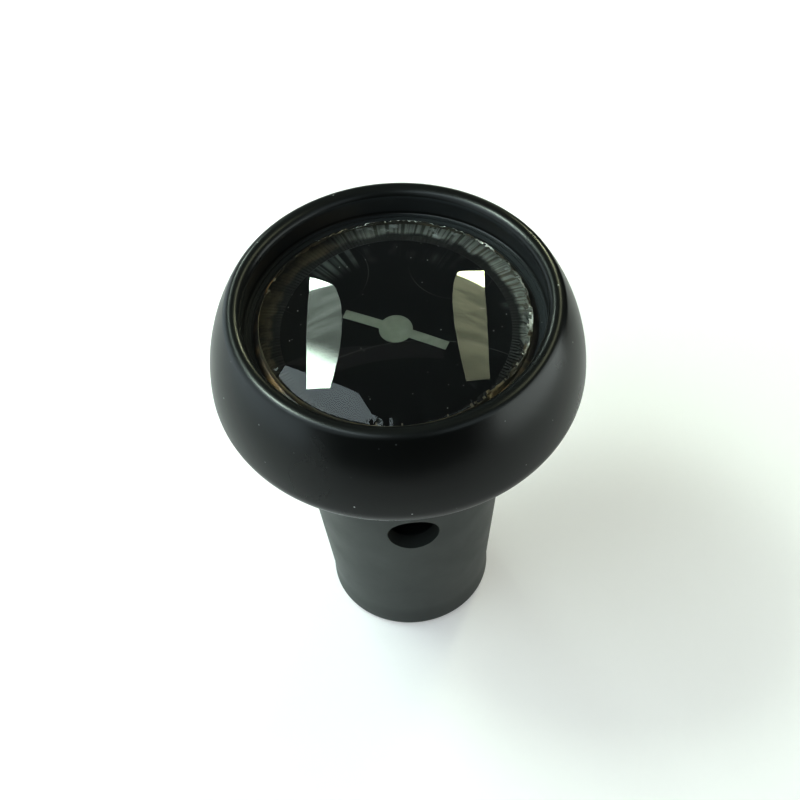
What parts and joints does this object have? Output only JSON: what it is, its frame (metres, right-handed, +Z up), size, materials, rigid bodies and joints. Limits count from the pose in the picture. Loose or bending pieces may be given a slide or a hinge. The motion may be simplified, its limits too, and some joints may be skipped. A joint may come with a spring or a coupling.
{
  "type": "survey prism",
  "caption": "Small survey prism: a domed glass in a round black head that swivels on a tapered, socketed pole stem with a cross hole.",
  "frame": {"origin": "centre of the stem's foot, on the plane that it stands on", "axes": "+Z up the optical axis from the foot to the glass; the cross hole runs along Y"},
  "size_m": [0.053, 0.053, 0.0643],
  "materials": {
    "head_shell": "gloss black anodised",
    "lens_bond": "black silicone sealant",
    "dome_lens": "polished dome with a ground edge",
    "lens_gasket": "pale silicone, ribbed",
    "target_mark": "printed grey film",
    "filter_plate": "dark tinted glass",
    "prism_gasket": "fibre gasket",
    "corner_prism": "polished optical glass",
    "prism_pads": "white silicone",
    "prism_cell": "black acetal",
    "optics_ring": "black anodised",
    "cover_gasket": "black rubber",
    "base_cover": "satin black anodised",
    "cover_screws": "black oxide steel",
    "swivel_bush": "natural bearing plastic",
    "wave_spring": "spring steel",
    "snap_ring": "phosphated spring steel",
    "thrust_washer": "low-friction plastic",
    "swivel_seal": "black rubber",
    "stem": "satin dark anodised",
    "thread_insert": "machined brass"
  },
  "bodies": {
    "stem": {"stem": "stem", "thread_insert": "thread_insert", "thrust_washer": "thrust_washer", "wave_spring": "wave_spring", "snap_ring": "snap_ring", "swivel_seal": "swivel_seal"},
    "head": {"head_shell": "head_shell", "lens_bond": "lens_bond", "dome_lens": "dome_lens", "lens_gasket": "lens_gasket", "target_mark": "target_mark", "filter_plate": "filter_plate", "prism_gasket": "prism_gasket", "corner_prism": "corner_prism", "prism_pads": "prism_pads", "prism_cell": "prism_cell", "optics_ring": "optics_ring", "cover_gasket": "cover_gasket", "base_cover": "base_cover", "cover_screws": "cover_screws", "swivel_bush": "swivel_bush"}
  },
  "joints": [
    {"name": "head_swivel", "type": "hinge", "parent": "stem", "child": "head", "pos_m": [0, 0, 0.0484], "axis": [0, 0, 1], "continuous": true}
  ]
}
